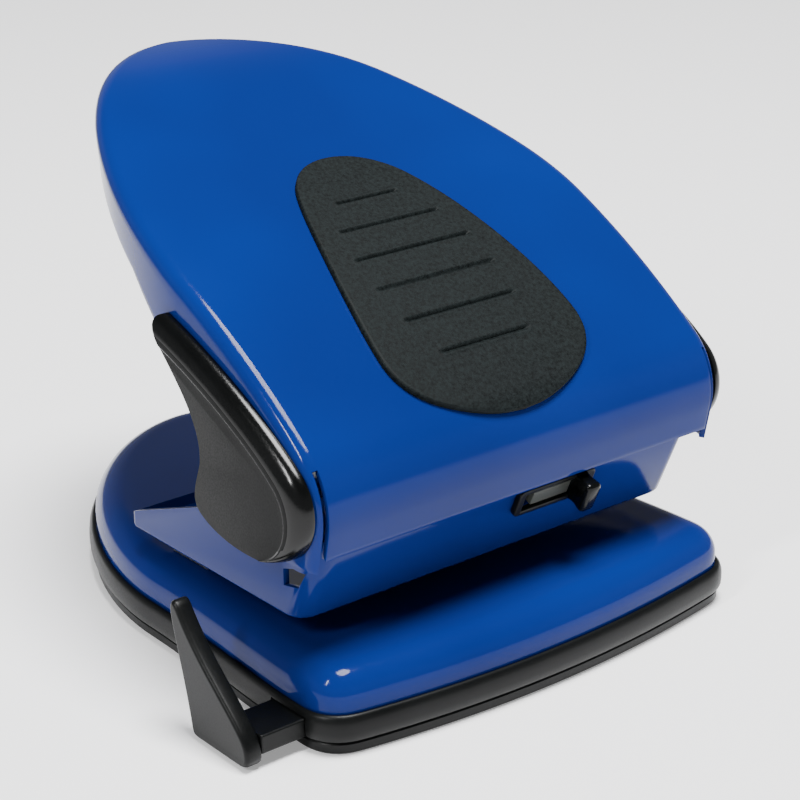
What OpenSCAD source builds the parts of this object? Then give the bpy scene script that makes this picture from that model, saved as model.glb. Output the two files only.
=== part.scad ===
// Two-hole lever paper punch, with a lock slide, a paper guide and a chip tray.
// X runs along the paper edge, -Y is the side the paper goes in, Z is up.
// The origin is the middle of the face the punch stands on.

/* [Base] */
// Width of the blue base plate at its front corners
base_w = 120; // [112:1:140]
// Width of the base plate at its waist
waist_w = 114; // [112:1:130]
// Depth of the base plate, front to rear
base_d = 152; // [140:1:180]
// How far the front edge bows forward
front_bow = 4.6; // [1:0.2:8]
// Radius of the front corners
corner_r = 8.5; // [5:0.5:14]
// Height of the base plate's lower edge above the table
edge_z = 9; // [8:0.5:12]
// Height of the plate's flat top above the table
plate_z = 18.5; // [17:0.5:24]
// Radius of the drawn edge of the plate
plate_r = 7; // [4:0.5:8]
// Sheet thickness of the base plate
plate_t = 1.2; // [0.8:0.1:1.6]

/* [Rim and chip tray] */
// How far the chip tray stands out past the plate
tray_out = 0.8; // [0:0.1:1]
// How far the rim stands out past the plate
rim_out = 1.8; // [1.4:0.1:3]
// Height of the rim's underside above the table
rim_z = 3; // [2.8:0.1:3.6]
// Wall thickness of the chip tray
tray_wall = 2; // [1.2:0.1:3]
// Floor thickness of the chip tray
tray_floor = 1.6; // [1:0.1:2]

/* [Punches] */
// Distance between the two punched holes
hole_spacing = 80; // [70:1:82]
// Diameter of a punched hole
hole_d = 6; // [5:0.1:7]
// Distance from the paper edge to the middle of a hole
hole_edge = 12; // [10:0.5:13]
// Height of the paper slot
slot_h = 5; // [4.6:0.1:7]
// How far a pin tip stands above the slot at rest
pin_lift = 1.3; // [0.6:0.1:1.4]
// Radius of a pin's pressed head
pin_head_r = 4.2; // [3.8:0.1:5]
// Height of the pin's head
pin_head_h = 3.9; // [3:0.1:5]
// Outer radius of the die bushes
die_r = 5.2; // [4.6:0.1:6.5]
// Depth of the die bushes
die_h = 4; // [3:0.5:5]

/* [Bracket] */
// Width of the punch bracket
bracket_w = 110; // [106:1:112]
// Depth of the bracket's floor
bracket_d = 64.3; // [60:0.5:70]
// Distance from the plate's front edge to the bracket's front edge
bracket_set = 22.2; // [18:0.2:24]
// Sheet thickness of the bracket
bracket_t = 1.5; // [1:0.1:1.8]
// Lean of the bracket's front wall from upright, in degrees
wall_lean = 23; // [15:1:24]
// Radius of the bracket's upright corners
bracket_r = 5; // [3:0.5:8]
// Height of the front wall's top above the table
wall_z = 45; // [42:0.5:46]
// Width of the inner guide bridge
bridge_w = 14; // [12:0.5:16]
// Height of the guide bridge's top above the table
bridge_z = 42; // [38:0.5:43]

/* [Lever] */
// Space between the bracket's side and the inside of the lever's side
lever_gap = 2; // [1.6:0.1:3.5]
// Length of the lever's tapering part
lever_taper = 91; // [80:1:100]
// Fullness of the taper, where 2 is an ellipse
lever_full = 1.7; // [1.5:0.05:2.2]
// Sheet thickness of the lever
lever_t = 1.5; // [1:0.1:1.6]
// Radius of the roll at the front of the lever
roll_r = 18; // [16:0.5:19]
// Radius of the arch in the lever's top
arch_r = 215; // [150:5:300]
// Slope of the lever's straight rear part, in degrees
rear_slope = 20.2; // [16:0.2:24]
// Length of that straight part, before the rear end levels out
straight_l = 35.8; // [20:0.2:50]
// Radius over which the rear end levels out
rear_bend = 109; // [90:1:200]
// Slope of the top where the front roll starts, in degrees
roll_slope = 38.5; // [36:0.5:42]
// Depth of the side skirt at the rear
skirt_d = 10; // [7:0.5:12]
// Angle the lever turns through when pressed, in degrees
lever_turn = 22; // [18:0.5:22]

/* [Pivot] */
// Distance of the pivot behind the plate's front edge
pivot_set = 27.8; // [26:0.2:30]
// Height of the pivot above the table
pivot_z = 51.3; // [50:0.1:54]
// Radius of the pivot axle
axle_r = 3; // [2.5:0.1:3.5]
// Distance from the pivot back to the press rod
rod_reach = 22; // [21:0.5:23]
// Radius of the press rod
rod_r = 2.5; // [2:0.1:3]
// Thickness of the black pivot caps
cap_t = 4; // [3.8:0.1:6]

/* [Grip pad] */
// Largest width of the soft grip pad
pad_w = 55.6; // [40:0.2:60]
// Length of the pad, seen from above
pad_l = 68.5; // [54:0.5:75]
// How far the pad stands above the lever
pad_h = 1.2; // [0.8:0.1:2]
// Number of grooves in the pad
groove_n = 6; // [3:1:8]

/* [Lock slide] */
// Middle of the lock's frame, right of the centre line
lock_x = 11.5; // [6:0.5:16]
// Length of the lock's frame
lock_l = 23; // [20:0.5:26]
// Travel of the lock slide
lock_travel = 3; // [2:0.5:4]

/* [Paper guide] */
// Distance from the centre line to the guide's stop when it is pushed in
guide_in = 72.5; // [70:0.5:76]
// Thickness of the guide's stop
stop_t = 4; // [3:0.5:5]
// Height of the guide's stop
stop_h = 30; // [24:1:38]
// Width of the guide's rule
rule_w = 11.5; // [9:0.5:13]
// Height of the guide's rule
rule_h = 4.4; // [3.5:0.1:4.6]

/* [Springs] */
// Radius of the spring wire
wire_r = 0.55; // [0.4:0.05:0.6]
// Radius of a spring at the middle of its wire
spring_r = 4.7; // [4.3:0.1:5]
// Curls in each return spring
spring_turns = 6; // [4:1:7]

/* [Clearances] */
// Radial clearance of pins and axles that turn or slide
run_gap = 0.06; // [0.03:0.01:0.1]
// Gap between pieces that move past each other
side_gap = 0.3; // [0.2:0.05:0.5]

/* [Hidden] */
$fn = 48;
tiny = 0.01;
far = 200;
blue = [0.05, 0.2, 0.62];
black = [0.09, 0.09, 0.1];
steel = [0.72, 0.73, 0.75];
rubber = [0.14, 0.14, 0.15];

// Places that the pieces share
front_y = -base_d / 2;
pivot_y = front_y + pivot_set;
rod_y = pivot_y + rod_reach;
pin_x = hole_spacing / 2;
pin_r = hole_d / 2;
floor_z = plate_z + slot_h;
pin_tip_z = floor_z + pin_lift;
// The press rod slides to and fro over the pin's head as the lever turns
rod_rise = 17.2;
rod_end_y = rod_reach * cos(lever_turn) + rod_rise * sin(lever_turn);
pin_y = pivot_y + (rod_reach + rod_end_y) / 2;
rod_z = pivot_z + rod_rise;
head_gap = 0.1;
head_z = rod_z - rod_r - head_gap;
collar_h = 1.5;
collar_r = 6;
collar_z = head_z - pin_head_h - collar_h;
rod_drop = rod_rise * (1 - cos(lever_turn)) + rod_reach * sin(lever_turn);
stop_y = pin_y + hole_edge;
bracket_y = front_y + bracket_set;
bracket_rear = bracket_y + bracket_d;
bracket_x = bracket_w / 2;
skirt_in = bracket_x + lever_gap;
lever_x = skirt_in + lever_t;
ear_t = lever_gap - 0.5;
echo(pin_stroke = rod_drop, pin_y = pin_y, pivot = [pivot_y, pivot_z], head_z = head_z);

// ---- shared functions ----

// Points along a cubic curve, without its last point
function bez(p, n) = [for (i = [0:n - 1]) let (t = i / n, s = 1 - t)
    s * s * s * p[0] + 3 * s * s * t * p[1] + 3 * s * t * t * p[2] + t * t * t * p[3]];

// A chain of cubic curves that share their end points
function bez_chain(list, n) = [for (p = list) each bez(p, n)];

// A counter-clockwise closed outline moved inward by d
function inset(pts, d) = let (n = len(pts)) [for (i = [0:n - 1])
    let (e = pts[(i + 1) % n] - pts[(i + n - 1) % n], k = norm(e))
    pts[i] + d * [-e[1], e[0]] / k];

function lift(pts, z) = [for (p = pts) [p[0], p[1], z]];
function flip(pts) = [for (i = [len(pts) - 1:-1:0]) [-pts[i][0], pts[i][1]]];
function smooth(t) = t * t * (3 - 2 * t);

// A closed solid through rings of equal length, capped at both ends. A ladder cap joins
// point i to point n - 1 - i, for a ring that runs down one side and back up the other
module loft(rings, ladder = false) {
    n = len(rings[0]);
    m = len(rings);
    last = (m - 1) * n;
    rungs = [for (i = [0:floor(n / 2) - 2])
        each [[i, i + 1, n - 2 - i], [i, n - 2 - i, n - 1 - i]]];
    caps = ladder
        ? concat(rungs, [for (r = rungs) [last + r[0], last + r[2], last + r[1]]])
        : [[for (j = [0:n - 1]) j], [for (j = [n - 1:-1:0]) last + j]];
    polyhedron(
        points = [for (r = rings) each r],
        faces = concat(caps,
            [for (i = [0:m - 2], j = [0:n - 1]) [i * n + j, (i + 1) * n + j, (i + 1) * n + (j + 1) % n]],
            [for (i = [0:m - 2], j = [0:n - 1]) [i * n + j, (i + 1) * n + (j + 1) % n, i * n + (j + 1) % n]]),
        convexity = 6);
}

// A closed solid of rings that run back into the first one
module ring_loft(rings) {
    n = len(rings[0]);
    m = len(rings);
    polyhedron(
        points = [for (r = rings) each r],
        faces = concat(
            [for (i = [0:m - 1], j = [0:n - 1])
                [i * n + j, ((i + 1) % m) * n + j, ((i + 1) % m) * n + (j + 1) % n]],
            [for (i = [0:m - 1], j = [0:n - 1])
                [i * n + j, ((i + 1) % m) * n + (j + 1) % n, i * n + (j + 1) % n]]),
        convexity = 6);
}

// A side profile, given as [y, z] points, pushed along X from x0 to x1
module along_x(x0, x1, pts) {
    translate([x0, 0, 0]) rotate([90, 0, 90]) linear_extrude(x1 - x0) polygon(pts);
}

module block(x0, x1, y0, y1, z0, z1) {
    translate([x0, y0, z0]) cube([x1 - x0, y1 - y0, z1 - z0]);
}

module both_sides() {
    children();
    mirror([1, 0, 0]) children();
}

// A rod along X, centred
module rod_x(r, half, y, z) {
    translate([-half, y, z]) rotate([0, 90, 0]) cylinder(r = r, h = 2 * half);
}

// ---- base outline ----

corner_x = base_w / 2 - corner_r;
corner_y = front_y + front_bow + corner_r;
waist_y = 0;
rear_l = base_d / 2 - waist_y;
rear_full = 1.8;
bow_slope = atan(2 * front_bow / corner_x);
base_half = concat(
    [for (k = [0:5]) let (x = (corner_x + corner_r * sin(bow_slope)) * k / 5)
        [x, front_y + front_bow * pow(x / corner_x, 2)]],
    [for (a = [-76 + bow_slope:16:-5]) [corner_x + corner_r * cos(a), corner_y + corner_r * sin(a)]],
    [for (k = [0:8]) let (y = corner_y + (waist_y - corner_y) * k / 8)
        [base_w / 2 + (waist_w - base_w) / 2 * smooth(k / 8), y]],
    [for (a = [7:7:84]) [waist_w / 2 * pow(cos(a), 2 / rear_full),
        waist_y + rear_l * pow(sin(a), 2 / rear_full)]]);
base_outline = concat(base_half, [[0, base_d / 2]],
    flip([for (i = [1:len(base_half) - 1]) base_half[i]]));

function base_ring(d, z) = lift(inset(base_outline, d), z);

// The drawn edge of the plate, as rings from its lower edge to its flat top
plate_steps = [0, 25, 45, 65, 90];
function plate_rings(t) = [for (a = plate_steps)
    let (r = plate_r - t)
    base_ring(t + r * (1 - cos(a)), plate_z - plate_r + r * sin(a))];

// ---- base ----

rivet_x = [-42, -15, 15, 42];
rivet_r = 2;
rivet_head_r = 3.4;
rivet_head_h = 0.9;
rivet_y = stop_y + 7;
fit_gap = 0.02;
tray_gap = 0.2;

module base_plate() {
    inner = plate_rings(plate_t);
    color(blue) difference() {
        loft(concat(
            [for (i = [len(inner) - 1:-1:0]) inner[i]],
            [base_ring(plate_t, edge_z), base_ring(0, edge_z)],
            plate_rings(0)));
        for (x = [-pin_x, pin_x])
            translate([x, pin_y, plate_z - 2 * plate_t]) cylinder(r = die_r + fit_gap, h = 3 * plate_t);
        for (x = rivet_x)
            translate([x, rivet_y, plate_z - 2 * plate_t]) cylinder(r = rivet_r + fit_gap, h = 3 * plate_t);
    }
}

// The rim's section, as [distance out from the plate's edge, height] points
rim_section = [[-2.6, rim_z], [rim_out - 0.9, rim_z], [rim_out - 0.2, rim_z + 0.8],
    [rim_out, rim_z + 2.4], [rim_out - 0.2, edge_z - 1], [rim_out - 0.9, edge_z + 0.3],
    [0.3, edge_z + 0.3], [0.3, edge_z], [-2.6, edge_z]];
rule_z = rim_z + 0.2;
rule_y = front_y + 12;
rule_play = 0.25;

module base_rim() {
    color(black) difference() {
        ring_loft([for (s = rim_section) base_ring(-s[0], s[1])]);
        block(-base_w, 8 - waist_w / 2, rule_y - rule_play, rule_y + rule_w + rule_play,
            rule_z - rule_play, rule_z + rule_h + rule_play);
    }
}

module chip_tray() {
    top = rim_z - tray_gap;
    color(black) loft([base_ring(1 - tray_out, 0), base_ring(-tray_out, 1), base_ring(-tray_out, top - 0.4),
        base_ring(0.4 - tray_out, top), base_ring(tray_wall - tray_out, top),
        base_ring(tray_wall - tray_out, tray_floor)]);
}

module die(side) {
    color(steel) translate([side * pin_x, pin_y, plate_z - die_h]) difference() {
        cylinder(r = die_r, h = die_h);
        translate([0, 0, -1]) cylinder(r = pin_r + run_gap, h = die_h + 2);
    }
}

module back_stop() {
    color(steel) difference() {
        block(6 - bracket_x, bracket_x - 6, stop_y, stop_y + 14, plate_z, floor_z);
        for (x = rivet_x)
            translate([x, rivet_y, plate_z - 1]) cylinder(r = rivet_r + fit_gap, h = slot_h + 2);
    }
}

module bracket_rivets() {
    foot = plate_z - plate_t;
    top = floor_z + bracket_t;
    color(steel) for (x = rivet_x) translate([x, rivet_y, 0]) {
        translate([0, 0, foot - rivet_head_h])
            cylinder(r = rivet_r, h = top - foot + 2 * rivet_head_h);
        translate([0, 0, foot - rivet_head_h]) cylinder(r = rivet_head_r, h = rivet_head_h);
        translate([0, 0, top]) cylinder(r = rivet_head_r, h = rivet_head_h);
    }
}

// ---- bracket ----

rear_r = 2.5;
bend_r = 1.4;
hump_z = pivot_z + 6.2;
tail_z = floor_z + 2.9;

// One level of the bracket's box, drawn in by d, with its front wall leaning
function box_ring(d, z) = let (
    yf = bracket_y - (z - floor_z) * tan(wall_lean) + d / cos(wall_lean),
    yr = bracket_rear - d, x = bracket_x - d, r = bracket_r - d, q = rear_r - d)
    lift(concat(
        [for (a = [180:18:270]) [r - x + r * cos(a), yf + r + r * sin(a)]],
        [for (a = [270:18:360]) [x - r + r * cos(a), yf + r + r * sin(a)]],
        [for (a = [0:30:90]) [x - q + q * cos(a), yr - q + q * sin(a)]],
        [for (a = [90:30:180]) [q - x + q * cos(a), yr - q + q * sin(a)]]), z);

// The side walls' outline: a low tail at the rear and a hump round the pivot
bracket_side = [[bracket_y - 40, floor_z - 1], [bracket_rear + 1, floor_z - 1],
    [bracket_rear + 1, tail_z], [bracket_rear - 2.3, tail_z + 1.8],
    [pivot_y + 18, pivot_z - 8.5], [pivot_y + 11, hump_z - 6], [pivot_y + 7.5, hump_z],
    [pivot_y - 7.5, hump_z], [pivot_y - 11, hump_z - 6], [pivot_y - 12.8, wall_z],
    [bracket_y - 40, wall_z]];

// The frame of the leaning front wall: y = 0 is its outer face, z runs up it
module on_wall() {
    translate([0, bracket_y, floor_z]) rotate([wall_lean, 0, 0]) children();
}

lock_up = 16;
frame_h = 7.6;
frame_t = 1.6;
opening_l = lock_l - 4;
opening_h = 4.8;

module wall_slot(y0, y1) {
    translate([lock_x - opening_l / 2, y0, lock_up - opening_h / 2]) cube([opening_l, y1 - y0, opening_h]);
}

module punch_bracket() {
    color(blue) difference() {
        intersection() {
            loft([box_ring(bend_r, floor_z), box_ring(0.4, floor_z + 0.4), box_ring(0, floor_z + bend_r),
                box_ring(0, hump_z + 1), box_ring(bracket_t, hump_z + 1),
                box_ring(bracket_t, floor_z + bracket_t)]);
            along_x(-far, far, bracket_side);
        }
        for (x = [-pin_x, pin_x])
            translate([x, pin_y, floor_z - 1]) cylinder(r = pin_r + run_gap, h = bracket_t + 2);
        for (x = rivet_x)
            translate([x, rivet_y, floor_z - 1]) cylinder(r = rivet_r + fit_gap, h = bracket_t + 2);
        rod_x(axle_r + fit_gap, bracket_w, pivot_y, pivot_z);
        on_wall() wall_slot(-1, bracket_t + 1);
        both_sides() block(bracket_x - 3, bracket_x + 1, bracket_y - 1.2, bracket_y + 4.5,
            floor_z + 7, floor_z + 13);
    }
}

module guide_bridge() {
    wall = 1.5;
    x = bracket_x - bracket_t;
    y0 = pin_y - bridge_w / 2;
    y1 = pin_y + bridge_w / 2;
    low = floor_z + bracket_t;
    color(steel) difference() {
        union() {
            block(-x, x, y0, y1, bridge_z - wall, bridge_z);
            both_sides() block(x - wall, x, y0, y1, low, bridge_z);
            both_sides() block(x - 8, x, y0, y1, low, low + wall);
        }
        for (s = [-pin_x, pin_x])
            translate([s, pin_y, bridge_z - 2 * wall]) cylinder(r = pin_r + run_gap, h = 3 * wall);
    }
}

module pivot_axle() {
    color(steel) rod_x(axle_r, lever_x + 2, pivot_y, pivot_z);
}

module axle_clips() {
    color(steel) both_sides() translate([lever_x + side_gap, pivot_y, pivot_z]) rotate([0, 90, 0])
        difference() {
            cylinder(r = axle_r + 2.6, h = 1);
            translate([0, 0, -1]) cylinder(r = axle_r + fit_gap, h = 3);
        }
}

// ---- punch pins and springs ----

module punch_pin(side) {
    color(steel) translate([side * pin_x, pin_y, 0]) {
        translate([0, 0, pin_tip_z]) cylinder(r = pin_r, h = head_z - pin_tip_z - 1);
        translate([0, 0, head_z - pin_head_h]) cylinder(r = pin_head_r, h = pin_head_h);
    }
}

module pin_collar(side) {
    color(steel) translate([side * pin_x, pin_y, collar_z]) difference() {
        cylinder(r = collar_r, h = collar_h);
        translate([0, 0, -1]) cylinder(r = pin_r + fit_gap, h = collar_h + 2);
    }
}

curl_rings = 8;
wire_sides = 6;
spring_low = bridge_z + wire_r;
spring_high = collar_z - wire_r;
spring_rings = curl_rings * spring_turns;
function coil(k) = let (a = 360 * k / curl_rings)
    [spring_r * cos(a), spring_r * sin(a), spring_low + (spring_high - spring_low) * k / spring_rings];
function wire_ring(k) = let (
    e = coil(k + 0.5) - coil(k - 0.5), t = e / norm(e),
    u = [cos(360 * k / curl_rings), sin(360 * k / curl_rings), 0], v = cross(t, u))
    [for (j = [0:wire_sides - 1]) let (b = 360 * j / wire_sides)
        coil(k) + wire_r * (cos(b) * u + sin(b) * v)];
coil_gap = min([for (i = [0:spring_rings], j = [i + curl_rings / 2:spring_rings])
    norm(coil(i) - coil(j))]) - 2 * wire_r;
echo(spring_least_gap = coil_gap);

module return_spring(side) {
    color(steel) translate([side * pin_x, pin_y, 0])
        loft([for (k = [spring_rings:-1:0]) wire_ring(k)]);
}

// ---- lever ----

function up_of(a) = [-sin(a), cos(a)];
pivot = [pivot_y, pivot_z];
arch_mid = pivot + (roll_r - arch_r) * up_of(roll_slope);
lip_slope = 101;
lip_z = pivot_z - 8.8;
toe_z = pivot_z - 11.9;
taper_y = pivot_y + 29.4;
lever_rear = taper_y + lever_taper;
arch_end = arch_mid + arch_r * up_of(rear_slope);
rear_mid = arch_end + [straight_l, straight_l * tan(rear_slope)] - rear_bend * up_of(rear_slope);
rear_step = (rear_slope - 2) / 4;

// The lever's side profile, moved out by d, from the rear to the front lip
function profile(d) = let (
    last = pivot + (roll_r + d) * up_of(lip_slope),
    run = (last[1] - lip_z) / sin(lip_slope))
    concat(
        [rear_mid + (rear_bend + d) * up_of(2) + lever_taper * [cos(2), sin(2)]],
        [for (k = [0:4]) rear_mid + (rear_bend + d) * up_of(2 + rear_step * k)],
        [for (k = [0:8]) arch_mid + (arch_r + d) * up_of(rear_slope + (roll_slope - rear_slope) * k / 8)],
        [for (k = [1:10]) pivot + (roll_r + d) * up_of(roll_slope + (lip_slope - roll_slope) * k / 10)],
        [last - run * [cos(lip_slope), sin(lip_slope)]]);

function turned(pts) = [for (i = [len(pts) - 1:-1:0]) pts[i]];
function span(pts, y0, y1) = [for (p = pts) if (p[0] > y0 && p[0] < y1) p];

outer_line = profile(0);
under_line = profile(-skirt_d);
skirt_line = concat(
    [[pivot_y - 14.3, toe_z], [pivot_y - 0.6, toe_z - 0.3]],
    bez([pivot + [9, -11.4], pivot + [19, -5], pivot + [19, 12], pivot + [41.4, 28.7]], 6),
    [pivot + [41.4, 28.7], pivot + [52, 36.4]],
    [for (k = [5:-1:0]) under_line[k]]);

lever_taper_half = [for (a = [0:6:84]) [lever_x * pow(cos(a), 2 / lever_full),
    taper_y + lever_taper * pow(sin(a), 2 / lever_full)]];
lever_outline = concat([[-lever_x, -far], [lever_x, -far]], lever_taper_half,
    [[0, lever_rear]], flip(lever_taper_half));

module lever_outer() {
    intersection() {
        translate([0, 0, -tiny]) linear_extrude(far) polygon(lever_outline);
        along_x(-far, far, concat(outer_line, skirt_line));
    }
}

module lever_inner() {
    under = profile(-lever_t);
    n = len(under) - 1;
    intersection() {
        linear_extrude(far) polygon(inset(lever_outline, lever_t));
        along_x(-far, far, concat(under, [[under[n][0] + 1.5, 1], [under[0][0], 1]]));
    }
}

slit = 1.2;
module lever_shell() {
    color(blue) difference() {
        lever_outer();
        lever_inner();
        block(-skirt_in, skirt_in, -far, pivot_y - 10, 0, lip_z);
        both_sides() block(skirt_in - slit, skirt_in + tiny, -far, pivot_y - 10, 0, pivot_z + 11);
        rod_x(axle_r + run_gap, 2 * lever_x, pivot_y, pivot_z);
    }
}

// Where the lock's bolt lies, and where its hole waits while the lever is up
bolt_r = 1.5;
bolt_in = 5.5;
bolt = [bracket_y + bolt_in * cos(wall_lean) - lock_up * sin(wall_lean),
    floor_z + bolt_in * sin(wall_lean) + lock_up * cos(wall_lean)] - pivot;
bolt_hole = pivot + [bolt[0] * cos(lever_turn) - bolt[1] * sin(lever_turn),
    bolt[0] * sin(lever_turn) + bolt[1] * cos(lever_turn)];
bolt_tip = lock_x - 14;
ear_gap = 0.5;

module under_lever(x0, x1) {
    line = profile(-lever_t);
    n = len(line) - 1;
    intersection() {
        translate([x0, 0, 0]) rotate([90, 0, 90]) linear_extrude(x1 - x0) children();
        along_x(x0 - 1, x1 + 1, concat(line, [[line[n][0], 1], [line[0][0], 1]]));
    }
}

web_t = 1.6;
module lever_stiffener() {
    line = span(profile(-lever_t), pivot_y - 3, pivot_y + 32);
    low = span(profile(-lever_t - web_t), pivot_y - 3, pivot_y + 32);
    color(steel) difference() {
        union() {
            along_x(-skirt_in, skirt_in, concat(line, turned(low)));
            both_sides() under_lever(skirt_in - ear_t, skirt_in) hull() {
                translate(pivot) circle(r = 7.5, $fn = 32);
                translate([rod_y, rod_z]) circle(r = 5.5, $fn = 32);
                translate(line[0] + [-2, -3]) circle(r = 2, $fn = 16);
                translate(line[len(line) - 1] + [0, -1]) circle(r = 2, $fn = 16);
            }
            under_lever(bolt_tip - ear_gap - web_t, bolt_tip - ear_gap) {
                hull() {
                    translate(pivot) circle(r = 6.5, $fn = 32);
                    translate(line[0] + [-6, -2]) circle(r = 3, $fn = 16);
                }
                hull() {
                    translate(pivot) circle(r = 5, $fn = 32);
                    translate(bolt_hole) circle(r = bolt_r + 1.2, $fn = 32);
                }
            }
        }
        rod_x(axle_r + run_gap, 2 * lever_x, pivot_y, pivot_z);
        rod_x(rod_r + fit_gap, 2 * lever_x, rod_y, rod_z);
        translate([bolt_tip - 8, bolt_hole[0], bolt_hole[1]]) rotate([0, 90, 0])
            cylinder(r = bolt_r + 0.4, h = 8);
    }
}

module press_rod() {
    color(steel) rod_x(rod_r, skirt_in - 0.1, rod_y, rod_z);
}

// ---- grip pad ----

pad_half = pad_w / 2;
pad_front = pivot_y - 15;
pad_rear = pad_front + pad_l;
pad_side = bez_chain([
    [[0, pad_front], [0.47 * pad_half, pad_front], [pad_half, pad_front + 4.2], [pad_half, pad_front + 14.7]],
    [[pad_half, pad_front + 14.7], [pad_half, pad_front + 25], [pad_half - 8.3, pad_rear - 16.2],
        [pad_half - 13.3, pad_rear - 8.2]],
    [[pad_half - 13.3, pad_rear - 8.2], [pad_half - 17.3, pad_rear - 2], [5, pad_rear], [0, pad_rear]]], 8);
pad_outline = concat(pad_side, [[0, pad_rear]], flip([for (i = [1:len(pad_side) - 1]) pad_side[i]]));
groove_r = 0.5;
groove_step = 8.2;
groove_first = pad_front + 13.6;
groove_half = 16.5;

function arch_z(y, d) = arch_mid[1] + sqrt(pow(arch_r + d, 2) - pow(arch_mid[0] - y, 2));

module grip_pad() {
    color(rubber) difference() {
        intersection() {
            linear_extrude(far) polygon(pad_outline);
            along_x(-far, far, concat(profile(pad_h), turned(profile(0))));
        }
        for (i = [0:groove_n - 1]) let (y = groove_first + groove_step * i)
            rod_x(groove_r, groove_half * sqrt(1 - pow((i - 2.2) / 3.25, 2)), y, arch_z(y, pad_h));
    }
}

// ---- pivot caps ----

// The cap's leaf shape, from its tip round the front, measured from the pivot
cap_tip = [33.8, 33.9];
cap_brow = [-13.1, 9.7];
cap_edge = bez([cap_tip, [19.4, 29.2], [-2.6, 18.7], cap_brow], 6);
cap_outline = [for (p = concat(cap_edge, bez_chain([
    [cap_brow, [-19.6, 3.7], [-17.6, -7.3], [-7.6, -10.9]],
    [[-7.6, -10.9], [-0.6, -12.8], [12, -12.4], [18.6, -8.2]],
    [[18.6, -8.2], [22.4, -5.6], [19.4, -1.2], [18.2, 3.2]],
    [[18.2, 3.2], [16.8, 11], [24, 19], [30.4, 25.1]],
    [[30.4, 25.1], [34.6, 28.9], [37.4, 33.6], cap_tip]], 6))) pivot + p];

// The face slopes away to the front and top, as on a dome that is rooted low at the rear
dome_low = -15;
cap_root = pivot + [24, dome_low];
cap_shrink = 0.18;
cap_flank = 1;
cap_dome = [for (p = concat([[48, 38]], cap_edge,
    bez([cap_brow, [-19.6, 3.7], [-17.6, -7.3], [-10, dome_low]], 8),
    [[-10, dome_low], [48, dome_low]])) pivot + p];

function dome_ring(a) = let (k = 1 - cap_shrink * (1 - cos(a)))
    lift([for (p = cap_dome) cap_root + k * (p - cap_root)], cap_flank + (cap_t - cap_flank) * sin(a));

module pivot_cap() {
    color(black) difference() {
        translate([lever_x, 0, 0]) rotate([90, 0, 90]) intersection() {
            linear_extrude(cap_t + 1) polygon(cap_outline);
            loft(concat([lift(cap_dome, -1)], [for (a = [0:15:90]) dome_ring(a)]));
        }
        translate([lever_x - 1, pivot_y, pivot_z]) rotate([0, 90, 0])
            cylinder(r = axle_r + 3.4, h = 3.5);
    }
}

// ---- lock ----

knob_w = 5.2;
knob_h = 7.8;
knob_out = 6;
slide_play = 0.2;

module lock_frame() {
    x = lock_l / 2 - 1.5;
    z = frame_h / 2 - 1.5;
    color(black) on_wall() difference() {
        translate([lock_x, 0, lock_up]) rotate([90, 0, 0]) linear_extrude(frame_t)
            hull() for (a = [-x, x], b = [-z, z]) translate([a, b]) circle(r = 1.5, $fn = 24);
        wall_slot(-frame_t - 1, 1);
    }
}

module lock_slide() {
    right = lock_x + opening_l / 2 - slide_play;
    left = lock_x - opening_l / 2 + slide_play + lock_travel;
    plate_in = bracket_t + side_gap;
    color(black) on_wall() translate([0, 0, lock_up]) {
        half = opening_h / 2 - slide_play;
        block(left, right, -frame_t / 2, plate_in, -half, half);
        block(right - knob_w, right, -frame_t - side_gap - knob_out, 0, -half, half);
        block(right - knob_w, right, -frame_t - side_gap - knob_out, -frame_t - side_gap,
            -knob_h / 2, knob_h / 2);
        block(left - 3, right + 3, plate_in, plate_in + 1, -half - 1.3, half + 1.3);
        block(left - 3, left + 3, plate_in, bolt_in + bolt_r, -bolt_r, bolt_r);
        translate([bolt_tip, bolt_in, 0]) rotate([0, 90, 0])
            cylinder(r = bolt_r, h = left - bolt_tip);
    }
}

// ---- paper guide ----

rule_l = 118;
stop_bottom = 0.6;
stop_top = [24.4, stop_h];
stop_back = [26.4, stop_h - 4];
stop_bevel = 0.6;
stop_nose = [1.8, 8];
stop_shape = [for (p = concat(
    bez([stop_top, [18, 0.67 * stop_h], [7, 0.45 * stop_h], stop_nose], 8),
    bez([stop_nose, [-1, 5.2], [-1, stop_bottom], [1.5, stop_bottom]], 6),
    bez([[19.7, stop_bottom], [20.8, 8], [24.2, 0.6 * stop_h], stop_back], 8),
    bez([stop_back, [27.2, stop_h - 0.5], [26.4, stop_h + 1.6], stop_top], 6))) [rule_y + p[0], p[1]]];

module guide_rule() {
    color(black) block(-guide_in, rule_l - guide_in, rule_y, rule_y + rule_w, rule_z, rule_z + rule_h);
}

module guide_stop() {
    color(black) translate([-guide_in - stop_t, 0, 0]) rotate([90, 0, 90])
        loft([lift(inset(stop_shape, stop_bevel), 0),
            lift(inset(stop_shape, 0.3 * stop_bevel), 0.6 * stop_bevel),
            lift(stop_shape, 2 * stop_bevel), lift(stop_shape, stop_t)], ladder = true);
}

channel_wall = 1.1;
module guide_channel() {
    y0 = rule_y - rule_play;
    y1 = rule_y + rule_w + rule_play;
    z0 = rule_z - rule_play;
    z1 = rule_z + rule_h + rule_play;
    x0 = 5 - base_w / 2;
    x1 = base_w / 2 - 10;
    under = plate_z - plate_t;
    color(black) difference() {
        union() {
            block(x0, x1, y0 - channel_wall, y1 + channel_wall, z0 - channel_wall, z1 + channel_wall);
            for (x = [x0 + 22, x1 - 25])
                block(x, x + 3, y0 + 1, y1 - 1, z1, under);
        }
        block(x0 - 1, x1 + 1, y0, y1, z0, z1);
        block(x0 - 1, x1 + 1, y0 + 2.5, y1 - 2.5, 0, z1 - tiny);
    }
}

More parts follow.
